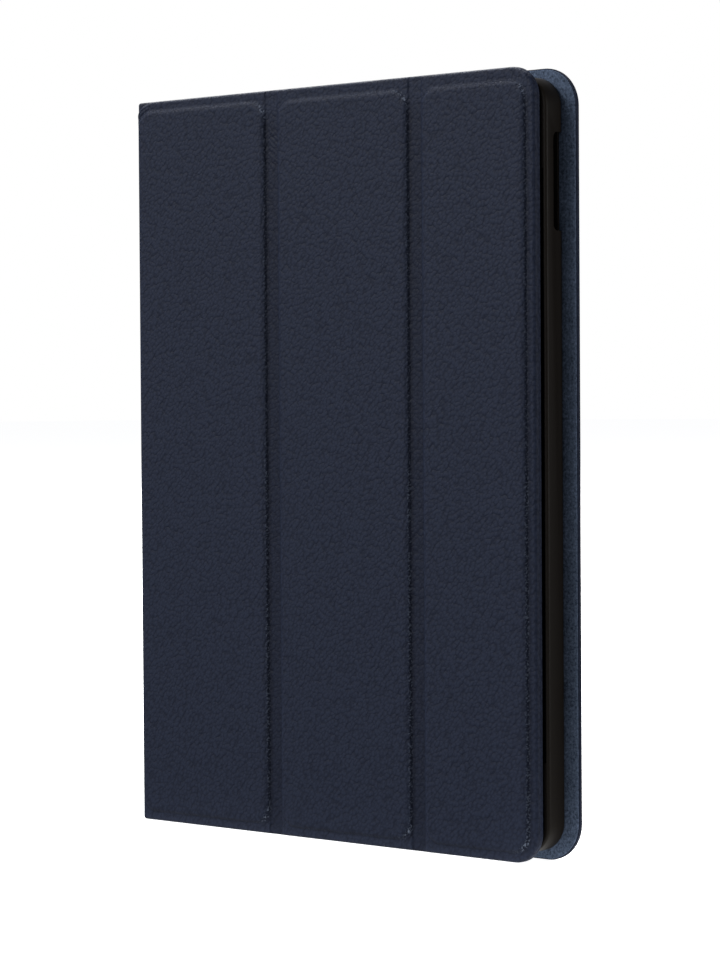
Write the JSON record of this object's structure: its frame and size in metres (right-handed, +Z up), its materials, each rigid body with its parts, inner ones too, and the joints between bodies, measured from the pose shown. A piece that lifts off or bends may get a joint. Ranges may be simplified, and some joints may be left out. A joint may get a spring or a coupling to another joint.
{
  "type": "tablet folio case",
  "caption": "Leather folio case that snaps round a tablet; its padded front cover folds back in panels into a stand.",
  "frame": {"origin": "middle of the bottom edge of the closed case, which stands upright on it", "axes": "+Z up along the case's height, the closed front cover faces -Y, the back cover faces +Y and the spine is on the -X side"},
  "size_m": [0.1884, 0.0158, 0.2596],
  "materials": {
    "leather": "fine pebbled grain, semi-matt",
    "lining": "brushed microfibre",
    "board": "pressed greyboard",
    "pad_insert": "soft pressed sheet",
    "magnet": "nickel plated",
    "tray": "moulded, satin",
    "tape": "double-sided foam tape"
  },
  "bodies": {
    "back": {"back_leather": "leather", "back_board": "board", "back_lining": "lining", "tray": "tray", "tray_top_wall": "tray", "tray_bottom_wall": "tray", "tray_open_wall": "tray", "tray_tape": "tape", "spine_back_turn_leather": "leather", "spine_back_turn_lining": "lining"},
    "spine": {"spine_leather": "leather", "spine_board": "board", "spine_lining": "lining", "spine_front_turn_leather": "leather", "spine_front_turn_lining": "lining"},
    "panel_1": {"panel_1_leather": "leather", "panel_1_board": "board", "panel_1_pad": "pad_insert", "panel_1_lining": "lining", "panel_1_magnets": "magnet", "fold_1_leather": "leather", "fold_1_lining": "lining"},
    "panel_2": {"panel_2_leather": "leather", "panel_2_board": "board", "panel_2_pad": "pad_insert", "panel_2_lining": "lining", "fold_2_leather": "leather", "fold_2_lining": "lining"},
    "panel_3": {"panel_3_leather": "leather", "panel_3_board": "board", "panel_3_pad": "pad_insert", "panel_3_lining": "lining", "panel_3_magnets": "magnet"}
  },
  "joints": [
    {"name": "spine_hinge", "type": "hinge", "parent": "back", "child": "spine", "pos_m": [-0.09293, 0.00666, 0], "axis": [0, 0, -1], "range_deg": [0, 90], "deforming": ["spine_back_turn_leather", "spine_back_turn_lining"]},
    {"name": "cover_hinge", "type": "hinge", "parent": "spine", "child": "panel_1", "pos_m": [-0.09293, -0.00576, 0], "axis": [0, 0, -1], "range_deg": [0, 180], "deforming": ["spine_front_turn_leather", "spine_front_turn_lining"]},
    {"name": "fold_1", "type": "hinge", "parent": "panel_1", "child": "panel_2", "pos_m": [-0.028, -0.00622, 0], "axis": [0, 0, -1], "range_deg": [0, 120], "deforming": ["fold_1_leather", "fold_1_lining"]},
    {"name": "fold_2", "type": "hinge", "parent": "panel_2", "child": "panel_3", "pos_m": [0.0366, -0.00622, 0], "axis": [0, 0, -1], "range_deg": [0, 115], "deforming": ["fold_2_leather", "fold_2_lining"]}
  ]
}
